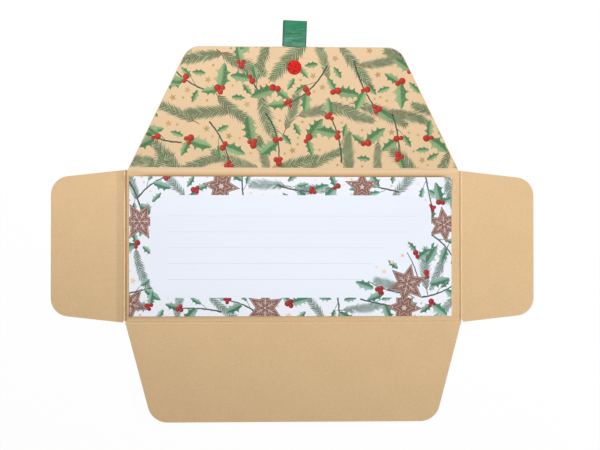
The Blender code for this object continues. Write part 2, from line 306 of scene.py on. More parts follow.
class Nodes:
    """The shader nodes of a material or of the world."""

    def __init__(self, owner):
        owner.use_nodes = True
        self.nodes = owner.node_tree.nodes
        self.links = owner.node_tree.links

    def add(self, kind, sockets=(), stops=(), **settings):
        """A new node: its settings and a ramp's stops, then the values or links of its sockets."""
        node = self.nodes.new("ShaderNode" + kind)
        for name, value in settings.items():
            setattr(node, name, value)
        if stops:
            self.set_stops(node.color_ramp, stops)
        for key, value in dict(sockets).items():
            self.join(value, node.inputs[key])
        return node

    def set_stops(self, ramp, stops):
        while len(ramp.elements) < len(stops):
            ramp.elements.new(0.5)
        for element, (place, colour) in zip(ramp.elements, stops):
            element.position = place
            element.color = (*colour, 1)

    def value(self, kind, sockets=(), output=0, **settings):
        return Value(self, self.add(kind, sockets, **settings).outputs[output])

    def join(self, value, socket):
        if isinstance(value, Value):
            self.links.new(value.socket, socket)
        elif socket.type == "RGBA":
            socket.default_value = (*value, 1)
        else:
            socket.default_value = value

    def maths(self, operation, *terms):
        return self.value("Math", enumerate(terms), operation=operation)

    def mix(self, amount, first, second):
        """The first colour, turning into the second as the amount goes from 0 to 1."""
        return self.value("Mix", {0: amount, 6: first, 7: second}, 2, data_type="RGBA")

    def shaded(self, colour, level):
        """A colour made lighter or darker by a level about 1."""
        return self.value("VectorMath", {0: colour, "Scale": level}, operation="SCALE")

    def place(self):
        return self.value("TexCoord", output="Object")

    def parts(self, vector):
        node = self.add("SeparateXYZ", {0: vector})
        return [Value(self, socket) for socket in node.outputs]

    def uv(self, layer):
        return self.parts(self.value("UVMap", uv_map=layer))[:2]

    def turned(self, place, angle, stretch):
        return self.value("Mapping", {"Vector": place, "Rotation": (0, 0, angle), "Scale": stretch})

    def noise(self, place, scale, detail=2.0, roughness=0.5):
        sockets = {"Vector": place, "Scale": scale, "Detail": detail, "Roughness": roughness}
        return self.value("TexNoise", sockets)

    def threads(self, place, angle, stretch):
        """Noise drawn out into threads that lie at an angle."""
        return self.noise(self.turned(place, angle, stretch), 1, 2)

    def specks(self, place, scale, radius, few):
        """Small round specks, 1 in the middle of each; few is the share of cells that hold one."""
        cells = self.add("TexVoronoi", {"Vector": place, "Scale": scale})
        chance = self.parts(Value(self, cells.outputs["Color"]))[0]
        near = 1 - Value(self, cells.outputs["Distance"]).between(radius * 0.5, radius)
        return near * self.maths("LESS_THAN", chance, few)

    def seen(self):
        """1 where the camera looks, also through a clear face or off a glossy one."""
        ray = self.add("LightPath")
        kinds = ("Is Camera Ray", "Is Glossy Ray", "Is Transmission Ray")
        camera, glossy, clear = (Value(self, ray.outputs[kind]) for kind in kinds)
        return self.maths("MAXIMUM", self.maths("MAXIMUM", camera, glossy), clear)


class Finish(Nodes):
    """A material under construction."""

    def __init__(self, name, roughness, specular):
        self.material = bpy.data.materials.new(name)
        super().__init__(self.material)
        self.shader = self.nodes["Principled BSDF"]
        self.shader.inputs["Roughness"].default_value = roughness
        self.shader.inputs["Specular IOR Level"].default_value = specular

    def bump(self, height, distance, strength):
        relief = self.value("Bump", {"Height": height, "Distance": distance, "Strength": strength})
        self.join(relief, self.shader.inputs["Normal"])

    def done(self, colour, roughness=None):
        """The material, with its colour and, where it varies, its roughness."""
        self.join(colour, self.shader.inputs["Base Color"])
        if roughness:
            self.join(roughness, self.shader.inputs["Roughness"])
        return self.material


def tinted(colour, by):
    """A colour times one number or three, at most 1."""
    by = by if hasattr(by, "__len__") else (by,) * 3
    return tuple(min(part * one, 1.0) for part, one in zip(colour, by))


def kraft_finish(name, kraft, crease=None, rubbed=None, bruised=None, dished=None):
    """Unbleached kraft board: cloudy fibre, fine grain, a few dark and pale fibres, and where asked painted
    shade and highlights.
    """
    finish = Finish(name, 0.85, 0.12)
    colour = kraft
    place = finish.place()
    cloud = finish.noise(place, 45, 3)
    grain = finish.noise(place, 1500, 3, 0.65)
    tuft = finish.noise(place, 620, 2)
    pale_fibre = finish.threads(place, 0.5, (420, 2600, 420)).between(0.60, 0.74)
    dark_fibre = finish.threads(place, -0.9, (480, 2900, 480)).between(0.62, 0.76)
    speck = finish.specks(place, 420, 0.16, 0.05)
    level = 1 + (cloud - 0.5) * 0.09 + (grain - 0.5) * 0.36 + (tuft - 0.5) * 0.07
    level = level + pale_fibre * 0.055 - dark_fibre * 0.075 - speck * 0.22
    upward = finish.parts(finish.value("TexCoord", output="Normal"))[2]
    inner_face = upward.between(0.35, 0.75)
    edge = 1 - abs(upward).between(0.35, 0.75)
    level = level - edge * 0.10
    if crease:
        across = finish.uv("strip")[0]
        reach = crease.groove_width * 1.9
        dip = 1 - abs(across - crease.groove).between(reach * 0.3, reach)
        crest = 1 - abs(across - crease.bead).between(0.02, 0.17)
        # The groove browned as pressing wear and painted shade, the bead paled as wear and painted highlight
        colour = finish.mix(dip * crease.brown, colour, tinted(kraft, PRESSED_AND_SHADE_TINT))
        colour = finish.mix(crest * crease.pale, colour, tinted(kraft, BEAD_WEAR_AND_HIGHLIGHT_TINT))
    # Painted shade: a darker band on the left flap's inner face beside its crease
    if bruised:
        beside = abs(finish.parts(place)[0] + CREASE_X + 0.0036)
        level = level - (1 - beside.between(0.0012, 0.0030)) * inner_face * bruised
    # Painted shadow: the panel's inner face darker just below the card, weaker towards the right
    if dished:
        x, y, _ = finish.parts(place)
        below = y.between(CARD_LOW_Y - 0.00275, CARD_LOW_Y - 0.00025)
        below = below * (1 - y.between(CARD_LOW_Y + 0.00015, CARD_LOW_Y + 0.0022))
        level = level - below * inner_face * (0.62 - x * 5) * dished
    # Painted shade browns the soft fold's root beside the card; a painted highlight pales its crest
    if rubbed:
        across = finish.uv("strip")[0]
        middle = 1 - abs(finish.parts(place)[0]).between(0.092, 0.104)
        root = (1 - across.between(0.08, 0.48)) * middle
        colour = finish.mix(root * rubbed, colour, tinted(kraft, PRESSED_AND_SHADE_TINT))
        colour = finish.mix(across.between(0.42, 0.72), colour, tinted(kraft, FOLD_CREST_HIGHLIGHT_TINT))
    finish.bump(grain * 0.6 + pale_fibre * 0.25 - dark_fibre * 0.25 + cloud * 0.3, 0.00006, 0.35)
    return finish.done(finish.shaded(colour, level), 0.86 - pale_fibre * 0.10 + (grain - 0.5) * 0.1)


def toothed(name, roughness, specular):
    """A finish with paper's fine tooth, which the ink on it shares, its place and that tooth."""
    finish = Finish(name, roughness, specular)
    place = finish.place()
    tooth = finish.noise(place, 2600, 3, 0.6)
    finish.bump(tooth, 0.00003, 0.3)
    return finish, place, tooth


def paper_finish(name, colour, grain_level, lift=0.0):
    """Bare paper with a faint cloud and fine tooth; lift is how much paler its lower edge is, as painted
    light.
    """
    finish, place, tooth = toothed(name, 0.62, 0.12)
    cloud = finish.noise(place, 60, 3)
    fibre = finish.threads(place, 0.2, (500, 2400, 500)).between(0.62, 0.78)
    level = 1 + (tooth - 0.5) * grain_level + (cloud - 0.5) * 0.02 - fibre * grain_level * 0.25
    # Painted light: the sheet paler towards its lower edge
    if lift:
        level = level + (1 - finish.parts(place)[1].between(-0.030, 0.022)) * lift
    return finish.done(finish.shaded(colour, level), 0.60 + (tooth - 0.5) * 0.15)


def ink_on_paper(name, roughness=0.58, specular=0.12):
    """A finish for ink, its place and the tone of each mark."""
    finish, place, _ = toothed(name, roughness, specular)
    return finish, place, finish.value("Attribute", output="Fac", attribute_name="tone")


def washed(finish, place, colour, paper, tone, strength=0.22):
    """The material: ink that pools and thins like a brushed wash, and lets some paper through."""
    pool = finish.noise(place, 420, 3, 0.6)
    thin = finish.noise(place, 1500, 2, 0.6)
    level = 1 + (pool - 0.5) * strength * 1.6 + (tone - 0.5) * strength
    inked = finish.shaded(colour, level)
    return finish.done(finish.mix(thin.between(0.48, 0.80) * 0.13, inked, paper))


def leaf_ink(name, dark, pale, paper):
    """A holly leaf: one half in shade, one pale, with a midrib and side veins."""
    finish, place, tone = ink_on_paper(name)
    along, aside = finish.uv("print")
    drift = finish.noise(place, 300, 2) - 0.5
    half = (aside + drift * 0.30).between(-0.10, 0.14)
    pale_margin = (0 - aside).between(0.25, 0.95)
    body = finish.mix(half, pale, dark)
    body = finish.mix(pale_margin * 0.45, body, paper)
    lit = finish.mix((aside + drift).between(0.35, 0.95) * 0.35, body, pale)
    veins = (along * 6.5 - abs(aside) * 1.3).wave().between(0.78, 1.0)
    midrib = 1 - abs(aside + drift * 0.05).between(0.02, 0.085)
    veined = finish.mix(veins * 0.28 + midrib * 0.40, lit, finish.mix(half, dark, pale))
    return washed(finish, place, veined, paper, tone)


def berry_ink(name, red, paper):
    """A round berry with a shaded rim, a small glint and a dark crown."""
    finish, place, tone = ink_on_paper(name, 0.55, 0.14)
    along, aside = finish.uv("print")

    def away(ahead, left):
        """The distance from a point of the berry."""
        return ((along - ahead) ** 2 + (aside - left) ** 2) ** 0.5

    body = finish.mix(away(-0.2, 0.2).between(0.45, 1.25) * 0.75, red, tinted(red, 0.42))
    glint = away(-0.30, 0.35).between(0.10, 0.34)
    crown = away(0.28, -0.12).between(0.08, 0.24)
    body = finish.mix((1 - glint) * 0.55, body, tinted(red, (1.35, 3.2, 3.4)))
    body = finish.mix((1 - crown) * 0.70, body, tinted(red, 0.22))
    return washed(finish, place, body, paper, tone, 0.16)


def needle_ink(name, dark, pale, paper, rust):
    """Fir needles that lean off their stem, each with its own tone, over a paler row behind them."""
    finish, place, tone = ink_on_paper(name)
    along, aside = finish.uv("print")
    sway = (finish.noise(place, 260, 2) - 0.5) * 1.1 + (finish.noise(place, 900, 1) - 0.5) * 0.8
    reach = abs(aside)
    side = finish.maths("GREATER_THAN", aside, 0.0)
    middle = tuple(a * 0.7 + b * 0.3 for a, b in zip(dark, pale))
    body = finish.mix(reach.between(1.0, 4.0) * 0.7, finish.mix(0.55, paper, pale), paper)
    rows = (
        (1.31, NEEDLE_LEAN * 0.70, 17, 0.55, ((0.0, middle), (0.5, pale), (0.9, pale))),
        (NEEDLE_PITCH, NEEDLE_LEAN, 7.5, 0.85, ((0.0, middle), (0.40, middle), (0.60, pale), (0.95, pale))),
        (NEEDLE_PITCH, NEEDLE_LEAN, 0, 1.0, ((0.0, dark), (0.70, dark), (0.90, middle), (0.98, pale))),
    )
    for pitch, lean, offset, cover, stops in rows:
        row = (along - reach * lean + sway) / pitch + side * 31 + offset
        whole = finish.maths("FLOOR", row)
        pair = finish.value("CombineXYZ", {0: whole, 1: tone * 97.0})
        chance = finish.value("TexWhiteNoise", {"Vector": pair}, noise_dimensions="2D")
        needle = finish.value("ValToRGB", {"Fac": chance}, stops=stops)
        stroke = 1 - abs(row - whole - 0.5).between(0.12, 0.26)
        body = finish.mix(stroke * cover, body, needle)
    stem = (1 - reach.between(0.10, 0.36)) * (0.85 - along.between(0.0, 22.0) * 0.6)
    return washed(finish, place, finish.mix(stem, body, rust), paper, tone, 0.18)


def flat_ink(name, colour, paper, strength):
    """One colour of ink with a slight wash."""
    finish, place, tone = ink_on_paper(name)
    return washed(finish, place, colour, paper, tone, strength)


def biscuit_ink(name, brown, paper):
    """A spiced biscuit: brown crumb with darker baked patches and a baked edge."""
    finish, place, tone = ink_on_paper(name)
    along, aside = finish.uv("print")
    out = (along ** 2 + aside ** 2) ** 0.5
    crumb = finish.noise(place, 900, 4, 0.7)
    body = finish.mix(crumb.between(0.35, 0.70), brown, tinted(brown, 1.7))
    body = finish.mix(out.between(0.55, 1.1) * 0.45, body, tinted(brown, 0.6))
    return washed(finish, place, body, paper, tone, 0.2)


def ribbon_finish(name, look, rib_count=None):
    """Grosgrain: raised cross ribs of fine thread with painted highlights on their crests and painted shade
    between, denser edges darkened more on the right, partly as painted shade, and painted shade deepening the
    green at the bight.
    """
    finish = Finish(name, 0.55, 0.08)
    place = finish.place()
    if rib_count:
        across, ribs = finish.uv("weave")
        bight = 1 - abs(ribs / rib_count * 2 - 1)
        # Painted shade: a deeper green towards the loop's bight
        painted_bight_shade = bight.between(0.30, 0.90)
    else:
        x, y, _ = finish.parts(place)
        across, ribs = (x - look.shift) / look.width + 0.5, y / look.rib
        painted_bight_shade = 0.0
    crest = ribs.wave()
    thread = (across * 62).wave()
    fuzz = finish.noise(place, 3200, 2)
    drift = finish.threads(place, 0, (170, 620, 170))
    # Denser edges, darker on the right, partly as painted shade of the lower leaf's edge
    selvedge_and_shade = abs(across - 0.5).between(0.450, 0.472) * (0.45 + across * 0.55)
    amount = crest * 0.90 + (fuzz - 0.5) * 0.35 + (drift - 0.5) * 2.4 + (thread - 0.5) * 0.10
    colour = look.colour
    # Rib crests painted paler as a highlight and grooves darker as shade, mixed with the threads' own drift
    # in tone
    pale_thread_and_highlight = (colour[0] * 3.2 + 0.01, colour[1] * 1.50, colour[2] * 1.75)
    body = finish.mix(amount, tinted(colour, 0.52), tinted(pale_thread_and_highlight, 1))
    body = finish.mix(painted_bight_shade * 0.80, body, tinted(colour, (0.60, 0.92, 0.84)))
    finish.bump(thread * 0.25 + fuzz * 0.35 + crest * 0.3, 0.00004, 0.5)
    body = finish.mix(selvedge_and_shade * 0.9, body, tinted(colour, 0.32))
    return finish.done(body, 0.50 - crest * 0.08 + (fuzz - 0.5) * 0.1)


def nylon_finish(name, colour):
    """Dyed nylon in a mottle of painted glints and painted shade."""
    finish = Finish(name, 0.50, 0.08)
    place = finish.place()
    # Painted glints and painted shade: a mottle of brighter, paler spots and darker ones over the hooks and
    # loops
    painted_glint_mottle = finish.noise(place, 1150, 2)
    fine = finish.noise(place, 4200, 2)
    level = 0.66 + painted_glint_mottle.between(0.38, 0.56) * 0.48 + (fine - 0.5) * 0.3
    body = finish.mix(painted_glint_mottle.between(0.48, 0.66) * 0.8, colour, tinted(colour, (1.3, 2.8, 1.6)))
    finish.bump(fine, 0.00002, 0.4)
    return finish.done(finish.shaded(body, level), 0.45 + (fine - 0.5) * 0.2)


def tape_finish(name, colour):
    """The milky adhesive film behind a disc."""
    finish = Finish(name, 0.35, 0.45)
    cloud = finish.noise(finish.place(), 900, 3)
    finish.bump(cloud, 0.00002, 0.3)
    return finish.done(finish.shaded(colour, 1 + (cloud - 0.5) * 0.12), 0.34 + cloud * 0.12)


# Modelling by hand


def deselect():
    for thing in list(bpy.context.selected_objects):
        thing.select_set(False)


def pick(piece):
    deselect()
    piece.select_set(True)
    bpy.context.view_layer.objects.active = piece


def named(name):
    """The primitive just added, under its own name."""
    piece = bpy.context.object
    piece.name = piece.data.name = name
    return piece


def linked(name, data):
    """A new object in the scene."""
    thing = bpy.data.objects.new(name, data)
    bpy.context.scene.collection.objects.link(thing)
    return thing


def edit_all():
    bpy.ops.object.mode_set(mode="EDIT")
    bpy.ops.mesh.select_all(action="SELECT")


def leave_edit():
    bpy.ops.object.mode_set(mode="OBJECT")


def face_up(piece):
    """Turns a sheet's faces to the side that looks up."""
    if sum(face.normal.z * face.area for face in piece.data.polygons) < 0:
        piece.data.flip_normals()


def paint(piece, *materials):
    piece.data.materials.clear()
    for material in materials:
        piece.data.materials.append(material)


def repaint(node, material):
    """A better finish on a CAD node that stays."""
    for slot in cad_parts[node].material_slots:
        slot.link = "OBJECT"
        slot.material = material


def smooth(amount):
    """An S-shaped rise from 0 to 1, flat at both ends."""
    amount = min(max(amount, 0.0), 1.0)
    return amount * amount * (3 - 2 * amount)


def strip(name, across, along, place, layer="strip"):
    """A fine grid whose every point goes to place(across share, along share)."""
    deselect()
    bpy.ops.mesh.primitive_grid_add(x_subdivisions=across, y_subdivisions=along, size=1)
    piece = named(name)
    piece.data.uv_layers.active.name = layer
    for vertex in piece.data.vertices:
        vertex.co = place(vertex.co.x + 0.5, vertex.co.y + 0.5)
    edit_all()
    bpy.ops.mesh.normals_make_consistent(inside=False)
    leave_edit()
    face_up(piece)
    return piece


def thicken(piece, thickness, offset=-1, back=0):
    """Gives a sheet its wall; back is how many slots further its underside and edge are."""
    pick(piece)
    wall = piece.modifiers.new("wall", "SOLIDIFY")
    wall.thickness = thickness
    wall.offset = offset
    wall.material_offset = back
    wall.material_offset_rim = back
    bpy.ops.object.modifier_apply(modifier=wall.name)
    bpy.ops.object.shade_smooth_by_angle(angle=radians(40))


def keep_off_table(piece):
    for vertex in piece.data.vertices:
        vertex.co.z = max(vertex.co.z, 0.0)


def stands_for(node):
    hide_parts(node)


# Board


def top_half_width(y):
    """Half the top flap's width at this height, along its slanting edges."""
    return CREASE_X - TOP_INSET - TOP_TAPER * (y - FOLD_Y) / TOP_LENGTH


def crease_height(across, look, crease):
    """A pressed groove next to the panel and a low bead next to the flap."""
    groove = exp(-(((across - crease.groove) / crease.groove_width) ** 2))
    bead = exp(-(((across - crease.bead) / crease.bead_width) ** 2))
    return crease.firm * (look.bead_height * bead - look.groove_depth * groove)


def fold_height(x, y, reach, look):
    """A soft roll, steep next to the card, with a level crest, that sinks to the liner's level."""
    low, high = FOLD_Y - look.fold_width / 2 - SEAM, FOLD_Y + look.fold_width / 2 + SEAM
    crest = look.fold_crest + look.fold_spread * exp(-(((x - 0.076) / 0.012) ** 2))
    part = (y - low) / crest
    roll = 1 - (1 - part) ** 2.6 if part < 1 else 1 - smooth((y - low - crest) / (high - low - crest))
    roll *= smooth((reach - abs(x)) / (0.018 if x > 0 else 0.011) + 0.1)
    return look.fold_bulge * roll + look.fold_rise * smooth((y - low) / (high - low))


def tilted(point, amount=1.0):
    """A point of the bottom flap's level place, at its tilt while the loop disc stands on the table."""
    near = LOOP_REACH - DISC_RADIUS
    tilt = atan2(BOTTOM_PIVOT_Z + LOOP_STACK, near)
    tilt -= asin(BOTTOM_PIVOT_Z / hypot(near, BOTTOM_PIVOT_Z + LOOP_STACK))
    pivot = Vector((0, BOTTOM_Y, BOTTOM_PIVOT_Z))
    return pivot + Matrix.Rotation(-tilt * amount, 3, "X") @ (Vector(point) - pivot)


class ENVELOPE_OT_board(bpy.types.Operator):
    """Give the panel and the four flaps their kraft finish"""

    bl_idname = "envelope.board"
    bl_label = "Board"

    def execute(self, context):
        look = context.scene.envelope_board
        kraft = kraft_finish("kraft", look.kraft)
        for node in ("right_flap", "bottom_flap", "top_flap"):
            repaint(node, kraft)
        # The panel, with a painted shadow below the card
        repaint("back_panel", kraft_finish("dished kraft", look.kraft, dished=look.dished))
        # The left flap, with painted shade along its crease
        repaint("left_flap", kraft_finish("bruised kraft", look.kraft, bruised=look.bruised))
        return {"FINISHED"}


class ENVELOPE_OT_creases(bpy.types.Operator):
    """Make the three creases beside the side flaps and the bottom flap"""

    bl_idname = "envelope.creases"
    bl_label = "Creases"

    def execute(self, context):
        look = context.scene.envelope_board
        half = look.crease_width / 2 + SEAM
        side_low = BOTTOM_Y + half
        for name, side in (("left", -1), ("right", 1)):

            def place(across, along, side=side, fold=CREASES[name]):
                x = side * (CREASE_X - half + 2 * half * across)
                y = side_low + (SIDE_TOP_Y - side_low) * along
                return x, y, BOARD + crease_height(across, look, fold)

            crease = self.crease(name, 60, place, look)
            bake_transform(crease)

        def place_bottom(across, along):
            x = CREASE_X * (2 * along - 1)
            y = BOTTOM_Y + half - 2 * half * across
            height = BOARD + crease_height(across, look, CREASES["bottom"])
            return tilted((x, y, height), smooth(across))

        crease = self.crease("bottom", 120, place_bottom, look)
        start, end = (0, BOTTOM_Y + half, BOARD), (0, BOTTOM_Y - half, BOARD)
        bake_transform(crease)
        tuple(start)
        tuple(end)
        return {"FINISHED"}

    def crease(self, name, cuts, place, look):
        crease = strip(name + "_bend", 28, cuts, place)
        # The finish browns the groove and pales the bead, as wear and as painted shade and highlight
        paint(crease, kraft_finish(name + " crease", look.kraft, CREASES[name]))
        thicken(crease, BOARD)
        keep_off_table(crease)
        stands_for(name + "_crease")
        return crease


class ENVELOPE_OT_fold(bpy.types.Operator):
    """Make the wide soft fold between the card and the liner"""

    bl_idname = "envelope.fold"
    bl_label = "Top fold"

    def execute(self, context):
        look = context.scene.envelope_board
        half = look.fold_width / 2 + SEAM
        low, high = FOLD_Y - half, FOLD_Y + half
        side = CREASE_X - look.crease_width / 2 - SEAM
        shoulder = min(side, top_half_width(SIDE_TOP_Y))

        def place(across, along):
            y = low + (high - low) * across
            reach = side
            if y > FOLD_Y:
                part = (y - FOLD_Y) / (SIDE_TOP_Y - FOLD_Y)
                slant = side + (shoulder - side) * part
                reach = slant if y < SIDE_TOP_Y else min(shoulder, top_half_width(y))
            x = reach * (2 * along - 1)
            return x, y, BOARD + fold_height(x, y, reach, look)

        fold = strip("top_bend", 44, 110, place)
        # The fold's finish paints shade at its root and a highlight on its crest
        paint(fold, kraft_finish("folded kraft", look.kraft, rubbed=look.rubbed))
        thicken(fold, BOARD)
        keep_off_table(fold)
        stands_for("top_fold")
        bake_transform(fold)
        return {"FINISHED"}


# Printing: marks are laid out in millimetres on the flat sheet


class Spot:
    """A place on the sheet with a heading, from which a line runs straight or with a bend."""

    def __init__(self, x, y, heading=0.0, bend=0.0):
        self.x, self.y = x, y
        self.heading = heading
        self.bend = bend

    def out(self, ahead, aside):
        """The sheet's point that lies this far ahead along the line and aside to its left."""
        if abs(self.bend) > 1e-5:
            radius = 1 / self.bend
            turn = ahead * self.bend
            ahead = (radius - aside) * sin(turn)
            aside = radius - (radius - aside) * cos(turn)
        c, s = cos(self.heading), sin(self.heading)
        return self.x + ahead * c - aside * s, self.y + ahead * s + aside * c

    def back(self, x, y):
        """How far ahead and aside a point of the sheet lies."""
        c, s = cos(self.heading), sin(self.heading)
        dx, dy = x - self.x, y - self.y
        ahead, aside = dx * c + dy * s, dy * c - dx * s
        if abs(self.bend) > 1e-5:
            radius = 1 / self.bend
            side = copysign(1, radius)
            reach = hypot(ahead, radius - aside)
            turn = atan2(side * ahead, side * (radius - aside))
            return turn * radius, radius - side * reach
        return ahead, aside

    def at(self, ahead, aside=0.0, turn=0.0, bend=0.0):
        """A new spot on this line, turned from its direction there."""
        x, y = self.out(ahead, aside)
        return Spot(x, y, self.heading + ahead * self.bend + turn, bend)


PAPER, LEAF, BERRY, NEEDLE, STEM, STUB, STAR, BISCUIT, ICING, RULE, PANEL, BACK = range(12)
NEEDLE_LEAN = 1.15
NEEDLE_PITCH = 1.90
CELL = 5.0


class Print:
    """The marks of one sheet, the first one lowest."""

    def __init__(self, seed):
        self.dice = random.Random(seed)
        self.marks = []
        self.taken = {}

    def put(self, ink, spot, points, long=1.0, wide=1.0, tone=None):
        """A mark whose outline is in the spot's own millimetres; long and wide scale its pattern."""
        tone = self.dice.random() if tone is None else tone
        self.marks.append((ink, [spot.out(*point) for point in points], spot, long, wide, tone))

    def ring(self, ink, spot, reaches, radius, tone=None):
        """A mark with its corners all round the spot, each at its own reach."""
        turns = [tau * i / len(reaches) for i in range(len(reaches))]
        points = [(reach * cos(turn), reach * sin(turn)) for reach, turn in zip(reaches, turns)]
        self.put(ink, spot, points, radius, radius, tone)

    def leaf(self, spot, length, width, spines=2):
        """A holly leaf: a broad blade with hollow edges between its few spines."""
        half = []
        for gap in range(spines + 1):
            for step in range(6):
                part = step / 6
                along = ((gap + part) / (spines + 1)) ** 0.92
                full = sin(pi * along**0.88) ** 0.52
                hollow = 1 - 0.40 * sin(pi * part) ** 0.9
                spine = step == 0 and gap
                out = (1.20 if spine else 1.0) * full * hollow * width / 2
                half.append(((along + 0.015 * spine) * length, out))
        dark = self.dice.choice((-1, 1))
        left = half[1:] + [(length * 1.06, 0)]
        right = [(x, -y * self.dice.uniform(0.90, 1.06)) for x, y in reversed(half[1:])]
        self.put(LEAF, spot, [(0, 0.12)] + left + right + [(0, -0.12)], length, dark * width / 2)

    def berry(self, spot, radius):
        reaches = [radius * self.dice.uniform(0.96, 1.03) for _ in range(16)]
        self.ring(BERRY, Spot(spot.x, spot.y, self.dice.uniform(-0.5, 0.5)), reaches, radius)

    def berries(self, spot, radius, number):
        """A bunch of two or three berries round a spot."""
        first = self.dice.uniform(0, tau)
        for i in range(number):
            angle = first + tau * i / number + self.dice.uniform(-0.25, 0.25)
            part = radius * (1.0 if i == 0 else self.dice.uniform(0.62, 0.88))
            apart = radius * (0.75 if number == 2 else 0.85)
            self.berry(spot.at(apart * cos(angle), apart * sin(angle)), part)

    def line(self, ink, spot, length, wide, thin, knots=0, tone=None):
        """A drawn line that tapers, with small knots like a twig's."""
        pieces = max(6, int(length / 1.6))
        left, right = [], []
        for i in range(pieces + 1):
            part = i / pieces
            half = (wide + (thin - wide) * part) / 2
            swell = 1 + (0.28 * self.dice.random() if knots and i % 3 == 1 else 0)
            sway = 0.12 * wide * sin(i * 2.1) if knots else 0
            left.append((part * length, half * swell + sway))
            right.append((part * length, -half * swell + sway))
        self.put(ink, spot, left + right[::-1], length, max(wide, 0.1), tone)

    def sprig(self, spot, length, width):
        """A fir sprig: a bare stub, then needles that shorten to both ends."""
        dice = self.dice
        self.line(STUB, spot.at(-3.6, 0, 0, spot.bend), 5.0, 0.55, 0.70, tone=0.5)
        step = NEEDLE_PITCH / 2
        rows = int(length / step)
        sides = {1: [], -1: []}
        for side, points in sides.items():
            for i in range(rows):
                full = sin(pi * min((i + 0.5) / rows * 0.80 + 0.15, 1)) ** 0.55
                reach = width * 0.50 * full * dice.uniform(0.78, 1.16) * (1 if i % 2 == 0 else 0.84)
                root = (i + 1) * step
                deep = reach * dice.uniform(0.42, 0.66)
                points.append((root + reach * NEEDLE_LEAN, side * reach))
                points.append((root + step * 0.5 + deep * NEEDLE_LEAN, side * deep))
        end = [(length * 1.02, 0.5), (length + width * 0.30, 0.1), (length * 1.02, -0.4)]
        self.put(NEEDLE, spot, [(0, 0.15)] + sides[1] + end + sides[-1][::-1] + [(0, -0.15)])

    def star(self, spot, radius, points=5, inner=0.46, ink=STAR, tone=None):
        self.ring(ink, spot, [radius, radius * inner] * points, radius, tone)

    def dot(self, spot, radius, ink=STAR):
        self.ring(ink, spot, [radius] * 10, radius)

    def biscuit(self, spot, radius, points=6, plain=False):
        """A spiced star biscuit: an iced edge, and rays with chevrons or a plain inner star with beads."""
        inner = 0.50 if points == 6 else 0.44
        rays = [spot.at(0, 0, tau * i / points) for i in range(points)]
        layers = [(1.0, BISCUIT, 0.2), (0.90, ICING, None), (0.85, BISCUIT, 0.6)]
        if plain:
            layers += [(0.52, ICING, None), (0.47, BISCUIT, 0.4), (0.18, ICING, None)]
        for reach, ink, tone in layers:
            self.star(spot, radius * reach, points, inner, ink, tone)
        if plain:
            for ray in rays:
                self.dot(ray.at(radius * 0.64), radius * 0.05, ICING)
            return
        for ray in rays:
            lens = [(0.06, 0.0), (0.28, 0.030), (0.64, 0.0), (0.28, -0.030)]
            self.put(ICING, ray, [(x * radius, y * radius) for x, y in lens], radius, radius)
            for reach, spread in ((0.20, 0.14), (0.34, 0.12)):
                for side in (-1, 1):
                    foot, tip = reach * radius, (reach + 0.10) * radius
                    near, far = side * 0.04 * radius, side * spread * radius
                    width = 0.026 * radius
                    chevron = [(foot, near), (tip, far), (tip + width, far), (foot + width * 1.4, near)]
                    self.put(ICING, ray, chevron[::side], radius, radius)
        self.dot(spot, radius * 0.055, ICING)

    def branch(self, spot, size_of, bunches=2):
        """A crooked twig with stalks, leaves and one or two bunches of berries."""
        dice = self.dice
        length = size_of * dice.uniform(0.85, 1.10)
        twig = Spot(spot.x, spot.y, spot.heading, dice.uniform(-0.028, 0.028))
        twig = twig.at(-length * 0.5, 0, 0, twig.bend)
        self.line(STEM, twig, length, 1.0, 0.75, knots=1, tone=0.35)
        side = dice.choice((-1, 1))
        fork = twig.at(length * 0.36, 0, side * 0.75, side * -0.05)
        self.line(STEM, fork, size_of * 0.20, 0.42, 0.28, tone=0.6)
        tip = fork.at(size_of * 0.19, 0, side * -0.1)
        self.leaf(tip, size_of * dice.uniform(0.25, 0.30), size_of * 0.15)
        low = twig.at(length * 0.60, 0, -side * dice.uniform(0.7, 1.1))
        long = size_of * dice.uniform(0.38, 0.46)
        self.leaf(low, long, long * dice.uniform(0.56, 0.66))
        if bunches > 1:
            self.berries(low.at(-0.4), size_of * 0.064, 2)
        end = twig.at(length, 0, side * 0.35)
        long = size_of * dice.uniform(0.34, 0.42)
        self.leaf(end, long, long * dice.uniform(0.54, 0.62))
        self.berries(end.at(0.2), size_of * 0.064, 3)

    def sprig_group(self, spot, size_of):
        length = size_of * self.dice.uniform(0.85, 1.10)
        width = size_of * self.dice.uniform(0.27, 0.33)
        line = Spot(spot.x, spot.y, spot.heading, self.dice.uniform(-0.016, 0.016))
        self.sprig(line.at(-length * 0.45, 0, 0, line.bend), length, width)

    def leaf_group(self, spot, size_of):
        """Two leaves of unlike size that meet at a bunch of berries."""
        dice = self.dice
        long = size_of * dice.uniform(0.46, 0.54)
        self.leaf(spot, long, long * dice.uniform(0.56, 0.66), dice.choice((2, 3)))
        second = spot.at(0, 0, dice.choice((-1, 1)) * dice.uniform(1.5, 2.3))
        long = size_of * dice.uniform(0.30, 0.38)
        self.leaf(second, long, long * 0.56)
        self.berries(spot, size_of * 0.072, dice.choice((2, 3)))

    def scatter(self, kinds, draws):
        """Draws the kind of motif that each place asks for, at any heading."""
        for x, y, kind in kinds:
            draws[kind](Spot(x, y, self.dice.uniform(0, tau)))

    def take(self, x, y, radius):
        self.taken.setdefault((int(x // CELL), int(y // CELL)), []).append((x, y, radius))

    def free(self, x, y, radius):
        """Whether no mark comes within this radius; no circle taken is wider than a cell's half."""
        column, row = int(x // CELL), int(y // CELL)
        near = [(i, j) for i in range(column - 1, column + 2) for j in range(row - 1, row + 2)]
        circles = [circle for cell in near for circle in self.taken.get(cell, ())]
        return all(hypot(x - a, y - b) > radius + r for a, b, r in circles)

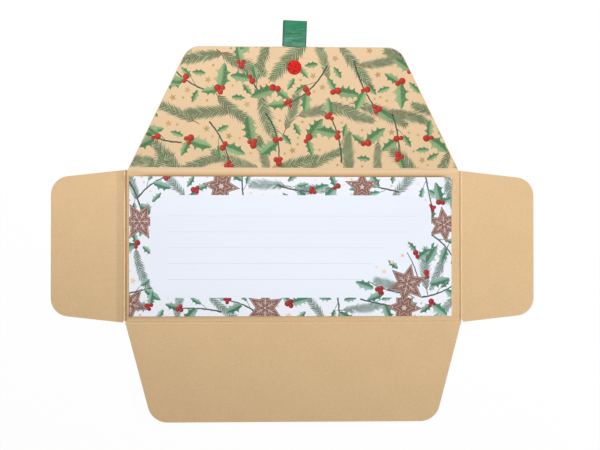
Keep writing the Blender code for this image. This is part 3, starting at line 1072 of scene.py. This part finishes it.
    def take_marks(self):
        """Notes the room that the marks so far cover, as small circles."""
        for ink, points, spot, *_ in self.marks:
            for x, y in points:
                self.take(x, y, 0.5)
            if ink == NEEDLE:
                for x, y in points:
                    self.take((x + spot.x) / 2, (y + spot.y) / 2, 1.0)
            middle = [sum(axis) / len(points) for axis in zip(*points)]
            self.take(*middle, 1.6 if ink in (LEAF, BISCUIT) else 0.7)

    def fill(self, low, high, rooms, leaf, dots):
        """Small leaves, stars and up to so many dots in the gaps, each kind where its room is free."""
        self.take_marks()
        draws = (
            lambda spot: self.leaf(spot.at(-4), *leaf),
            lambda spot: self.star(spot, 2.5),
            lambda spot: self.dot(spot, 0.85),
        )
        for room, tries, draw in zip(rooms, (900, 900, dots), draws):
            for _ in range(tries):
                x, y = self.dice.uniform(low[0], high[0]), self.dice.uniform(low[1], high[1])
                if self.free(x, y, room):
                    draw(Spot(x, y, self.dice.uniform(0, tau)))
                    self.take(x, y, room)


def round_outline(corners, arc=9):
    """A closed outline through (x, y, radius) corners, each round one as an arc."""
    points = []
    for i, (x, y, radius) in enumerate(corners):
        if not radius:
            points.append((x, y))
            continue
        before, after = corners[i - 1], corners[(i + 1) % len(corners)]
        to_before = atan2(before[1] - y, before[0] - x)
        to_after = atan2(after[1] - y, after[0] - x)
        turn = remainder(to_after - to_before, tau)
        reach = radius / sin(abs(turn) / 2)
        middle = to_before + turn / 2
        centre = x + reach * cos(middle), y + reach * sin(middle)
        start = to_before + copysign(pi / 2, -turn)
        sweep = copysign(pi - abs(turn), -turn)
        for step in range(arc + 1):
            angle = start + sweep * step / arc
            points.append((centre[0] + radius * cos(angle), centre[1] + radius * sin(angle)))
    return points


def inside(points, outline):
    """Which of the points lie inside an outline."""
    ends = np.roll(outline, -1, axis=0)
    x, y = points[:, :1], points[:, 1:]
    (ax, ay), (bx, by) = outline.T, ends.T
    crossed = (ay > y) != (by > y)
    rise = np.where(by == ay, 1.0, by - ay)
    left = crossed & (x < ax + (y - ay) * (bx - ax) / rise)
    return np.where(left, np.sign(by - ay), 0).sum(axis=1) != 0


def parted(outline, printed, extra):
    """The flat sheet as triangles, and for each the mark on top of it, 0 being bare paper."""
    points, edges = [], []
    for shape in [outline] + [mark[1] for mark in printed.marks]:
        first, number = len(points), len(shape)
        points += [Vector(point) for point in shape]
        edges += [(first + i, first + (i + 1) % number) for i in range(number)]
    points += [Vector(point) for point in extra]
    flat, _, faces, _, _, _ = delaunay_2d_cdt(points, edges, [], 0, 1e-4, False)
    flat, faces = np.array(flat), np.array(faces)
    middles = flat[faces].mean(axis=1)
    kept = inside(middles, np.array(outline))
    faces, middles = faces[kept], middles[kept]
    top = np.zeros(len(faces), int)
    for number, mark in enumerate(printed.marks, 1):
        shape = np.array(mark[1])
        near = np.nonzero(((middles > shape.min(0)) & (middles < shape.max(0))).all(axis=1))[0]
        if len(near):
            top[near[inside(middles[near], shape)]] = number
    return flat, faces, top


def printed_sheet(name, outline, printed, extra, height, look, inks):
    """A closed sheet whose face is parted along every mark's outline, each part in its own ink."""
    flat, faces, top = parted(outline, printed, extra)
    used, faces = np.unique(faces, return_inverse=True)
    faces = faces.reshape(-1, 3)
    places = [(x * MM, y * MM, height(x * MM, y * MM)) for x, y in flat[used].tolist()]
    mesh = bpy.data.meshes.new(name)
    mesh.from_pydata(places, [], faces.tolist())
    layer = mesh.uv_layers.new(name="print")
    tones = mesh.attributes.new("tone", "FLOAT", "FACE")
    for polygon, mark in zip(mesh.polygons, top.tolist()):
        if mark:
            ink, _, spot, long, wide, tone = printed.marks[mark - 1]
            polygon.material_index = ink
            tones.data[polygon.index].value = tone
            for loop in polygon.loop_indices:
                x, y, _ = places[mesh.loops[loop].vertex_index]
                ahead, aside = spot.back(x / MM, y / MM)
                layer.data[loop].uv = (ahead / long, aside / wide)
    piece = linked(name, mesh)
    for ink in inks:
        mesh.materials.append(ink)
    face_up(piece)
    thicken(piece, look.thickness, -1, BACK)
    return piece


def inks(kind, look, grain):
    """The finishes of one sheet, in the order of their slots, with spare ones on the liner."""
    # The card takes painted light towards its lower edge; the liner takes none
    paper, lift = look.paper, getattr(look, "low_lift", 0.0)
    biscuit = getattr(look, "biscuit", look.star)
    icing, rule, panel = (getattr(look, name, paper) for name in ("icing", "rule", "panel"))
    return [
        paper_finish(kind + " paper", paper, grain, lift),
        leaf_ink(kind + " holly leaf", look.leaf_dark, look.leaf_pale, paper),
        berry_ink(kind + " berry", look.berry, paper),
        needle_ink(kind + " fir needle", look.needle_dark, look.needle_pale, paper, look.stub),
        flat_ink(kind + " twig", look.stem, paper, 0.45),
        flat_ink(kind + " stub", look.stub, paper, 0.3),
        flat_ink(kind + " small star", look.star, paper, 0.25),
        biscuit_ink(kind + " biscuit", biscuit, paper),
        flat_ink(kind + " icing", icing, paper, 0.1),
        flat_ink(kind + " rule", rule, paper, 0.05),
        paper_finish(kind + " panel", panel, grain, lift),
        paper_finish(kind + " back", tinted(paper, 0.97), grain),
    ]


def liner_lift(x, y, look):
    """How far the liner rises over the ribbon's glued tails, gently to the sides."""
    beside = (abs(x - look.shift) - look.width / 2 - 0.0008) / 0.012
    below = (FREE_EDGE_Y - RIBBON_TAIL - 0.0006 - y) / 0.0012
    stack = 2 * look.thickness + look.space + SEAM
    return stack * smooth(1 - max(beside, below, 0))


class ENVELOPE_OT_liner(bpy.types.Operator):
    """Print the liner and lay it inside the top flap, raised over the ribbon's tails"""

    bl_idname = "envelope.liner"
    bl_label = "Printed liner"

    def execute(self, context):
        look, ribbon = context.scene.envelope_liner, context.scene.envelope_ribbon
        low, high = FOLD_Y + 0.003 + SEAM, FREE_EDGE_Y - look.margin
        slant = hypot(TOP_LENGTH, TOP_TAPER) / TOP_LENGTH
        low_x, high_x = ((top_half_width(y) - look.margin * slant) / MM for y in (low, high))
        radius = (TOP_RADIUS - look.margin) / MM
        low, high = low / MM, high / MM
        corners = [(-low_x, low, 0), (low_x, low, 0), (high_x, high, radius), (-high_x, high, radius)]
        printed = Print(look.seed)
        self.lay_out(printed, low, high)

        def height(x, y):
            return LINER_TOP + liner_lift(x, y, ribbon)

        extra = [(x, y) for x, y in self.extra(ribbon) if y < high - 0.1]
        outline, finishes = round_outline(corners), inks("liner", look, 0.10)
        liner = printed_sheet("printed_liner", outline, printed, extra, height, look, finishes)
        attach(liner, "top_side")
        stands_for("flap_liner")
        return {"FINISHED"}

    def extra(self, ribbon):
        """Points that let the sheet bend: a wide grid, and rings round the ribbon's tails."""
        extra = [(x * 4.0, y * 4.0) for x in range(-27, 28) for y in range(13, 33)]
        near, shift = ribbon.width / 2 / MM, ribbon.shift / MM
        for step in range(9):
            out = near + 0.6 + step * 1.5
            top = FREE_EDGE_Y / MM - 6.5 - 0.5 - step * 0.17
            for i in range(24):
                extra.append((shift - out, top + i * 0.4))
                extra.append((shift + out, top + i * 0.4))
            for i in range(41):
                extra.append((shift + (i - 20) / 20 * out, top))
        return extra

    def lay_out(self, printed, low, high):
        """Sprigs, branches and leaf pairs on a loose staggered grid, then small things between."""
        dice = printed.dice
        kinds = []
        for row in range(6):
            for column in range(-6, 7):
                x = (column - 0.5 * (row % 2)) * 19.0
                y = low + 2 + row * 17.0
                kinds.append((x + dice.uniform(-3, 3), y + dice.uniform(-3, 3), (column * 2 + row) % 4))
        dice.shuffle(kinds)
        kinds.sort(key=lambda kind: (0, 2, 1, 2)[kind[2]])
        draws = (
            lambda spot: printed.sprig_group(spot, 36),
            lambda spot: printed.branch(spot, 33),
            lambda spot: printed.sprig_group(spot, 30),
            lambda spot: printed.leaf_group(spot, 32),
        )
        printed.scatter(kinds, draws)
        printed.fill((-108, low), (108, high), (3.4, 2.6, 1.7), (8.5, 4.8), 700)


class ENVELOPE_OT_card(bpy.types.Operator):
    """Print the message card and lay it on the panel, a little curled"""

    bl_idname = "envelope.card"
    bl_label = "Message card"

    def execute(self, context):
        look = context.scene.envelope_card
        low, high = (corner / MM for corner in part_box("message_card"))
        x0, x1, y0, y1 = low.x, high.x, low.y, high.y
        printed = Print(look.seed)
        self.border(printed, x0, x1, y0, y1)
        panel = (x0 + 13.6, x1 - 13.3, y0 + 12.0, y1 - 12.0)
        self.panel(printed, look, *panel)
        self.corner_group(printed, panel[1], panel[2])
        extra = [(x0 + (x1 - x0) * i / 56, y0 + (y1 - y0) * j / 24) for i in range(57) for j in range(25)]
        width, depth = (x1 - x0) * MM, (y1 - y0) * MM

        def height(x, y):
            across, up = (x - x0 * MM) / width, (y - y0 * MM) / depth
            left = look.left_lift * max(1 - 2 * across, 0) ** 2
            top = look.top_lift * smooth((up - 0.80) / 0.20)
            corner = look.corner_lift * (max(2 * across - 1, 0) * up) ** 2
            return BOARD + look.gap + look.thickness + left + top + corner

        outline, finishes = [(x0, y0), (x1, y0), (x1, y1), (x0, y1)], inks("card", look, 0.05)
        card = printed_sheet("printed_card", outline, printed, extra, height, look, finishes)
        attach(card, "card")
        stands_for("message_card")
        return {"FINISHED"}

    def border(self, printed, x0, x1, y0, y1):
        """Motifs round the border, before the writing panel covers their inner parts."""
        dice = printed.dice
        inset = 6.5
        ring = []
        across, up = int((x1 - x0) / 15.0), int((y1 - y0) / 15.0)
        for i in range(across + 1):
            x = x0 + (x1 - x0) * i / across
            ring += [(x, y0 + inset), (x, y1 - inset)]
        for i in range(1, up):
            y = y0 + (y1 - y0) * i / up
            ring += [(x0 + inset, y), (x1 - inset, y)]
        ring.sort(key=lambda place: atan2(place[1], place[0] * 0.45))
        kinds = []
        for i, (x, y) in enumerate(ring):
            kinds.append((x + dice.uniform(-2, 2), y + dice.uniform(-2, 2), (0, 1, 3, 2, 0, 1)[i % 6]))
        kinds.sort(key=lambda kind: kind[2])

        def biscuit(spot):
            printed.biscuit(spot, dice.uniform(11.0, 14.0), dice.choice((5, 6, 6)), dice.random() < 0.4)

        draws = (
            lambda spot: printed.sprig_group(spot, 27),
            lambda spot: printed.branch(spot, 27, 1),
            lambda spot: printed.leaf_group(spot, 26),
            biscuit,
        )
        printed.scatter(kinds, draws)
        printed.fill((x0, y0), (x1, y1), (3.2, 2.7, 1.6), (8.0, 4.4), 900)

    def panel(self, printed, look, left, right, low, high):
        """The white writing panel and its rules."""
        radius = look.panel_radius / MM
        corners = [(left, low, radius), (right, low, radius), (right, high, radius), (left, high, radius)]
        printed.put(PANEL, Spot(0, 0), round_outline(corners), tone=0.5)
        half = look.rule_width / 2 / MM
        start = left + 11
        for i, short in enumerate((10, 15, 31, 38, 46)):
            end, y = right - short, 20.4 - i * 10.33
            rule = [(start, y - half), (end, y - half), (end, y + half), (start, y + half)]
            printed.put(RULE, Spot(0, 0), rule, tone=0.5)

    def corner_group(self, printed, right, low):
        """A group of motifs over the panel's lower right corner, each so far left of and above it."""
        dice = printed.dice

        def spot(left, up, turn, bend=0.0):
            return Spot(right - left, low + up, turn, bend)

        printed.sprig(spot(14, 1.5, radians(150), 0.01), 25, 9)
        printed.sprig(spot(3, 5, radians(100), -0.012), 27, 9)
        printed.line(STEM, spot(8, 7, radians(96), 0.02), 24, 0.8, 0.5, 1, 0.35)
        printed.line(STEM, spot(18, 3, radians(176), -0.02), 24, 0.8, 0.5, 1, 0.35)
        for left, up, turn, length, width in (
            (9.5, 25, 35, 11.5, 6.4),
            (10, 30, 130, 8, 4.6),
            (3, 22, 60, 13, 7.4),
            (38, 6, 160, 12, 6.8),
            (31, 3.5, 205, 12, 6.6),
            (22, 19, 140, 8, 4.4),
            (1, 9, 15, 13, 7.2),
        ):
            printed.leaf(spot(left, up, radians(turn)), length, width)
        for left, up, number in ((9.6, 28, 2), (34, 5, 3), (3, 15, 2)):
            printed.berries(spot(left, up, dice.uniform(0, 6)), 1.9, number)
        printed.biscuit(spot(16, 9, radians(17)), 13.5, 6)
        for left, up, radius in ((31, 17, 2.0), (26, 23, 1.5), (19, 27.5, 1.1), (36, 20, 0.9), (15, 34, 0.9)):
            draw = printed.star if radius > 1.2 else printed.dot
            draw(spot(left, up, dice.uniform(0, 6)), radius)


# Ribbon pull


def ribbon_line(look):
    """The loop's centre line, as (reach, height, length so far), from one leaf's root to the other's."""
    bight = RIBBON_Z - look.thickness / 2
    centre = look.reach - RIBBON_ROOT - RIBBON_Z
    near = (look.space + look.thickness) / 2
    upper = []
    leaf_steps, turn_steps = 130, 24
    for i in range(leaf_steps):
        reach = -RIBBON_ROOT + (centre + RIBBON_ROOT) * i / leaf_steps
        upper.append((reach, near + (bight - near) * smooth(reach / centre)))
    turn = [pi / 2 - pi * i / turn_steps for i in range(turn_steps + 1)]
    bend = [(centre + bight * cos(a), bight * sin(a)) for a in turn]
    lower = [(reach, -height) for reach, height in reversed(upper)]
    points = upper + bend + lower
    line, length = [], 0.0
    for before, point in zip(points[:1] + points, points):
        length += dist(before, point)
        line.append((*point, length))
    return line


def along_line(line, length):
    """The point and direction at this length along the line."""
    low, high = 0, len(line) - 1
    while high - low > 1:
        middle = (low + high) // 2
        low, high = (middle, high) if line[middle][2] <= length else (low, middle)
    a, b = line[low], line[high]
    part = (length - a[2]) / (b[2] - a[2])
    step = Vector((b[0] - a[0], b[1] - a[1])).normalized()
    return Vector((a[0] + (b[0] - a[0]) * part, a[1] + (b[1] - a[1]) * part)), step


class ENVELOPE_OT_ribbon(bpy.types.Operator):
    """Fold the ribbon into its loop and finish its glued tails"""

    bl_idname = "envelope.ribbon"
    bl_label = "Ribbon pull"

    def execute(self, context):
        look = context.scene.envelope_ribbon
        line = ribbon_line(look)
        full = line[-1][2]
        ribs_in_all = full / look.rib

        def bow(across):
            """How far a rib bows along the ribbon, in pitches."""
            return 0.55 * cos(pi * (across - 0.35)) + 0.18 * sin(9 * across)

        def place(across, along):
            point, step = along_line(line, min(max(along, 0), 1) * full)
            fade = 1 - smooth((abs(across - 0.5) - 0.44) / 0.05)
            ribs = along * ribs_in_all + bow(across)
            lift = look.rib_height * 0.5 * cos(tau * ribs) * fade
            reach = point.x - step.y * lift
            rise = point.y + step.x * lift
            aside = (across - 0.5) * look.width
            x = look.shift + reach * sin(RIBBON_TURN) + aside * cos(RIBBON_TURN) - 0.0004
            x -= look.peep * smooth((along - 0.45) / 0.1)
            y = FREE_EDGE_Y + RIBBON_ROOT + reach * cos(RIBBON_TURN) - aside * sin(RIBBON_TURN)
            return x, y, RIBBON_Z + rise

        loop = strip("ribbon_pull", 30, 300, place, "weave")
        for item in loop.data.uv_layers["weave"].data:
            across, along = item.uv
            item.uv = (across, along * ribs_in_all + bow(across) + 0.25)
        paint(loop, ribbon_finish("grosgrain", look, ribs_in_all))
        thicken(loop, look.thickness, 0)
        keep_off_table(loop)
        stands_for("ribbon_loop")
        start, end = ((look.shift, FREE_EDGE_Y + beyond, RIBBON_Z) for beyond in PULL_BEND)
        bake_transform(loop)
        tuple(start)
        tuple(end)
        repaint("ribbon_tails", ribbon_finish("grosgrain tail", look))
        return {"FINISHED"}


# Hook disc and loop disc


# Rise of a backing's rim, and of its middle above the rim
RIM_LIFT = 0.00006
CROWN_LIFT = 0.00003


def disc_backing(name, look):
    """A round woven backing with a soft rim and a slightly crowned face."""
    deselect()
    bpy.ops.mesh.primitive_cylinder_add(
        vertices=72, radius=look.radius, depth=look.backing, location=(0, 0, look.backing / 2)
    )
    backing = named(name)
    bpy.ops.object.transform_apply(location=True, rotation=True, scale=True)
    bpy.ops.object.mode_set(mode="EDIT")
    bpy.ops.mesh.select_mode(type="FACE")
    bpy.ops.mesh.select_all(action="DESELECT")
    leave_edit()
    for face in backing.data.polygons:
        face.select = face.normal.z > 0.9
    bpy.ops.object.mode_set(mode="EDIT")
    for inset, lift in ((0.00012, RIM_LIFT), (0.0009, CROWN_LIFT)):
        bpy.ops.mesh.inset(thickness=inset)
        bpy.ops.transform.translate(value=(0, 0, lift))
    leave_edit()
    return backing


def strand(name, radius, straight, curl, degrees, sides):
    """One nylon strand: a stem that turns over into a hook or a loop."""
    deselect()
    bpy.ops.mesh.primitive_circle_add(vertices=sides, radius=radius, fill_type="NGON", location=(0, 0, 0))
    piece = named(name)
    edit_all()
    bpy.ops.mesh.extrude_region_move(TRANSFORM_OT_translate={"value": (0, 0, straight)})
    bpy.ops.mesh.spin(steps=6, angle=radians(degrees), center=(curl, 0, straight), axis=(0, 1, 0))
    bpy.ops.mesh.select_all(action="SELECT")
    bpy.ops.mesh.remove_doubles(threshold=radius * 0.01)
    bpy.ops.mesh.normals_make_consistent(inside=False)
    leave_edit()
    bpy.ops.object.shade_smooth()
    return piece


def planted(backing, seedling, look, spread, dice, size_of, any_turn):
    """Copies of a strand all over a backing, joined into it."""
    copies = []
    rows = int(look.radius / look.pitch) + 1
    for row in range(-rows, rows + 1):
        for column in range(-rows, rows + 1):
            x = (column + 0.5 * (row % 2)) * look.pitch + dice.uniform(-spread, spread)
            y = row * look.pitch * 0.87 + dice.uniform(-spread, spread)
            if hypot(x, y) > look.radius - 0.00035:
                continue
            scale = dice.uniform(*size_of)
            if any_turn:
                turn = dice.uniform(0, tau)
            else:
                turn = dice.choice((0, pi)) + dice.uniform(-0.4, 0.4)
            place = Matrix.Translation((x, y, look.backing + RIM_LIFT)) @ Matrix.Rotation(turn, 4, "Z")
            copy = linked(seedling.name, seedling.data.copy())
            copy.data.transform(place @ Matrix.Scale(scale, 4))
            copies.append(copy)
    pick(backing)
    for copy in copies:
        copy.select_set(True)
    bpy.ops.object.join()
    bpy.data.meshes.remove(seedling.data)
    return backing


class ENVELOPE_OT_discs(bpy.types.Operator):
    """Make the hook disc on the liner and the loop disc under the bottom flap"""

    bl_idname = "envelope.discs"
    bl_label = "Hook and loop discs"

    def execute(self, context):
        look = context.scene.envelope_discs
        nylon = nylon_finish("dyed nylon", look.colour)
        dice = random.Random(7)
        tall = look.pad - look.backing - (RIM_LIFT + CROWN_LIFT)

        hook = strand("hook", 0.00007, tall - 0.00022, 0.00013, 205, 6)
        hooks = planted(disc_backing("hook_pad", look), hook, look, 0.00006, dice, (0.9, 1.0), False)
        hooks.data.transform(Matrix.Translation((0, DISC_Y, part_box("hook_disc")[0].z)))
        self.finish_disc(hooks, "top_side", "hook_disc", "hook_pad", nylon)

        loop = strand("loop", 0.000045, tall - 0.00027, 0.00017, 180, 5)
        loops = planted(disc_backing("loop_pad", look), loop, look, 0.00022, dice, (0.75, 1.0), True)
        loops.data.transform(Matrix.Rotation(pi, 4, "X"))
        loops.data.transform(Matrix.Translation((0, BOTTOM_Y - LOOP_REACH, look.pad - LOOP_STACK)))
        for vertex in loops.data.vertices:
            vertex.co = tilted(vertex.co)
        keep_off_table(loops)
        self.finish_disc(loops, "bottom_side", "loop_disc", "loop_pad", nylon)

        tape = tape_finish("adhesive film", look.tape)
        repaint("hook_disc_adhesive", tape)
        repaint("loop_disc_adhesive", tape)
        return {"FINISHED"}

    def finish_disc(self, disc, body, node, slot, finish):
        paint(disc, finish)
        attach(disc, body)
        stands_for(node)


# Stage


# Width and middle of the part of the table that the picture shows, and the camera's sensor
VIEW_WIDTH = 0.3911
VIEW_MIDDLE = Vector((0.0038, 0.0146, 0))
SENSOR = 36


class ENVELOPE_OT_stage(bpy.types.Operator):
    """Set up the pale floor, the soft lights and the camera"""

    bl_idname = "envelope.stage"
    bl_label = "Stage"

    def execute(self, context):
        look = context.scene.envelope_stage
        self.floor(look)
        self.world(context, look)
        self.lights(look)
        self.camera(context, look)
        return {"FINISHED"}

    def floor(self, look):
        deselect()
        bpy.ops.mesh.primitive_plane_add(size=6, location=(0, 0, 0))
        table = named("table")
        table.data.transform(Matrix.Translation((0, 0, -0.00002)))
        finish = Finish("white table", 0.9, 0.1)
        white = finish.seen() * 0.96
        glow = finish.value("Emission", {"Color": (1, 1, 1), "Strength": 1.0})
        shader = Value(finish, finish.shader.outputs[0])
        blend = finish.value("MixShader", {0: white, 1: shader, 2: glow})
        finish.join(blend, finish.nodes["Material Output"].inputs["Surface"])
        paint(table, finish.done(look.floor))

    def world(self, context, look):
        world = bpy.data.worlds.new("studio")
        context.scene.world = world
        light = Nodes(world)
        sockets = light.nodes["Background"].inputs
        light.join((1, 1, 1), sockets["Color"])
        level = light.value("Mix", {0: light.seen(), 2: look.fill, 3: 1.0})
        light.join(level, sockets["Strength"])

    def lights(self, look):
        def lamp(name, place, aim, energy):
            light = bpy.data.lights.new(name, "AREA")
            light.energy = energy
            thing = linked(name, light)
            thing.location = place
            thing.rotation_euler = (Vector(aim) - Vector(place)).to_track_quat("-Z", "Y").to_euler()
            thing.visible_camera = False
            return light

        soft = lamp("soft light", (-0.10, 0.20, 0.45), (-0.05, 0.35, 0), look.soft)
        soft.shape = "RECTANGLE"
        soft.size, soft.size_y = 0.40, 0.30
        key = lamp("low light", (look.key_reach, -look.key_near, look.key_height), (0, 0.03, 0), look.key)
        key.shape = "DISK"
        key.size = 0.03

    def camera(self, context, look):
        back = Vector((-sin(look.camera_side), -sin(look.camera_tilt), 1)).normalized()
        data = bpy.data.cameras.new("camera")
        data.sensor_width = SENSOR
        data.lens = SENSOR * look.camera_distance / VIEW_WIDTH
        data.clip_start = 0.05
        camera = linked("camera", data)
        camera.location = VIEW_MIDDLE + back * look.camera_distance
        right = Vector((0, 1, 0)).cross(back).normalized()
        camera.rotation_euler = Matrix((right, back.cross(right), back)).transposed().to_euler()
        context.scene.camera = camera
        context.scene.view_settings.view_transform = "Standard"


class ENVELOPE_PT_panel(bpy.types.Panel):
    """The envelope's pieces and their sizes"""

    bl_label = "Gift Envelope"
    bl_space_type = "VIEW_3D"
    bl_region_type = "UI"
    bl_category = "Gift Envelope"

    def draw(self, context):
        layout = self.layout
        for operator in OPERATORS:
            layout.operator(operator.bl_idname)
        for group, settings in SETTINGS.items():
            box = layout.box()
            box.label(text=settings.__doc__)
            for name in settings.__annotations__:
                box.prop(getattr(context.scene, group), name)


OPERATORS = (
    ENVELOPE_OT_stage,
    ENVELOPE_OT_board,
    ENVELOPE_OT_creases,
    ENVELOPE_OT_fold,
    ENVELOPE_OT_liner,
    ENVELOPE_OT_card,
    ENVELOPE_OT_ribbon,
    ENVELOPE_OT_discs,
)


def register():
    for group, settings in SETTINGS.items():
        bpy.utils.register_class(settings)
        setattr(bpy.types.Scene, group, bpy.props.PointerProperty(type=settings))
    for operator in OPERATORS:
        bpy.utils.register_class(operator)
    bpy.utils.register_class(ENVELOPE_PT_panel)


def unregister():
    bpy.utils.unregister_class(ENVELOPE_PT_panel)
    for operator in reversed(OPERATORS):
        bpy.utils.unregister_class(operator)
    for group, settings in SETTINGS.items():
        delattr(bpy.types.Scene, group)
        bpy.utils.unregister_class(settings)


def main():
    register()
    bpy.ops.envelope.stage()
    bpy.ops.envelope.board()
    bpy.ops.envelope.creases()
    bpy.ops.envelope.fold()
    bpy.ops.envelope.liner()
    bpy.ops.envelope.card()
    bpy.ops.envelope.ribbon()
    bpy.ops.envelope.discs()


if __name__ == "__main__":
    main()
